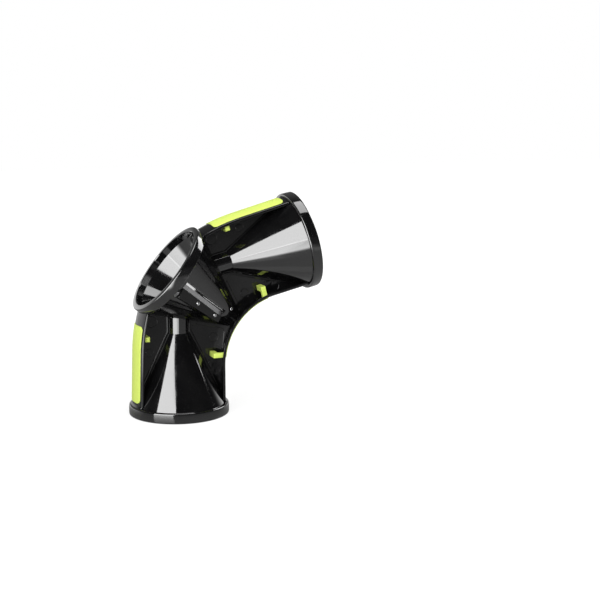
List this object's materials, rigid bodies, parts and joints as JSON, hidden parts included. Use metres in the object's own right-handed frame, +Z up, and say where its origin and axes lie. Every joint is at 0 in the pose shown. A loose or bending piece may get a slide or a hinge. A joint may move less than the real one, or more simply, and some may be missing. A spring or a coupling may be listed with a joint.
{
  "type": "hand spiralizer with three mouths",
  "caption": "Hand spiralizer whose two arms and third funnel meet in one plate, each with a round mouth and a bladed slot, with soft strips for the hand.",
  "frame": {"origin": "middle of the lower mouth ring's open face, on the table", "axes": "+Z up along the lower arm, +X to the side the right arm leans to, -Y the front; the plate lies in the XZ plane"},
  "size_m": [0.1322, 0.068, 0.1483],
  "materials": {
    "frame": "semi-matte",
    "ring": "glossy",
    "funnel": "glossy",
    "carrier": "glossy",
    "blade": "ground",
    "clamp": "semi-matte",
    "comb": "satin",
    "fastener": "polished",
    "grip": "soft matte"
  },
  "bodies": {
    "root": {"frame": "frame", "mouth_ring_bottom": "ring", "funnel_bottom": "funnel", "blade_carrier_bottom": "carrier", "blade_bottom": "blade", "blade_clamp_bottom": "clamp", "mouth_ring_right": "ring", "funnel_right": "funnel", "blade_carrier_right": "carrier", "blade_right": "blade", "blade_clamp_right": "clamp", "mouth_ring_third": "ring", "funnel_third": "funnel", "blade_carrier_third": "carrier", "blade_third": "blade", "blade_clamp_third": "clamp", "string_comb_bottom": "comb", "string_comb_right": "comb", "blade_rivets": "fastener", "carrier_screws": "fastener", "grip_bottom_arm": "grip", "grip_right_arm": "grip", "grip_hollow": "grip"}
  },
  "joints": []
}
